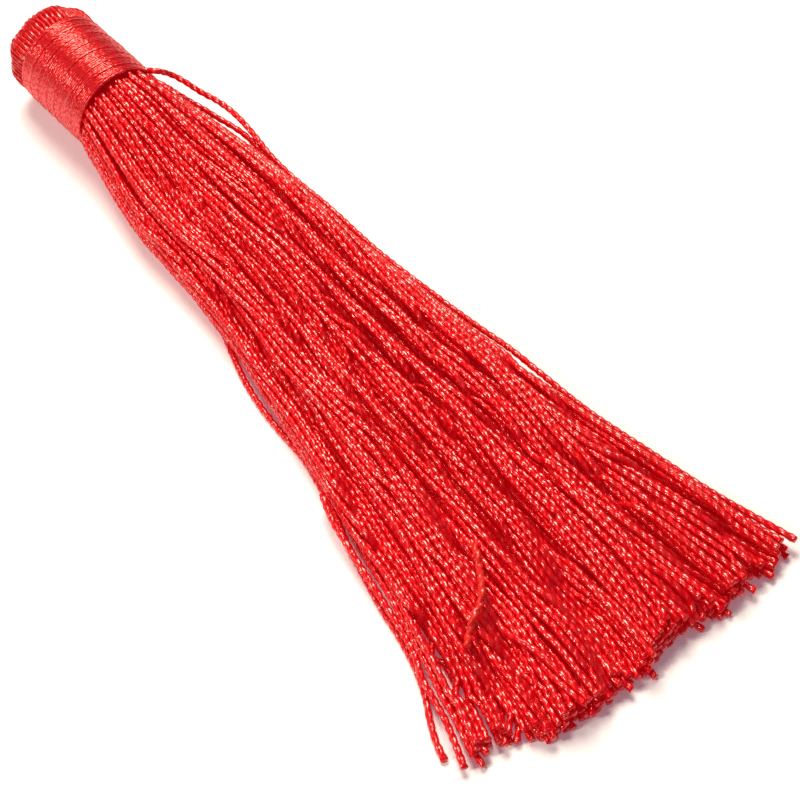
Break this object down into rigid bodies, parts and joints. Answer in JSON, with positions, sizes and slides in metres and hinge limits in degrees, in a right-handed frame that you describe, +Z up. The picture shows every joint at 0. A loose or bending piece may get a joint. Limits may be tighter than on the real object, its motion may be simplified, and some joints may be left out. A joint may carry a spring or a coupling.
{
  "type": "cord tassel",
  "caption": "Glossy red cord tassel lying flat: cords doubled over at a thread-bound head and spread into a fan with a bluntly cut edge.",
  "frame": {"origin": "on the surface the tassel lies on, under the middle of its bounding box", "axes": "+Y along the tassel from the cut edge to the head, +Z up from the surface, +X across the fan"},
  "size_m": [0.0448, 0.1116, 0.012],
  "materials": {
    "cord": "glossy two-ply twisted cord, silky sheen",
    "binding_thread": "fine shiny thread, wound side by side"
  },
  "bodies": {
    "root": {"cord_bundle": "cord", "head_binding": "binding_thread", "stray_strand": "cord", "side_strand": "cord", "tip_strand": "cord"}
  },
  "joints": []
}
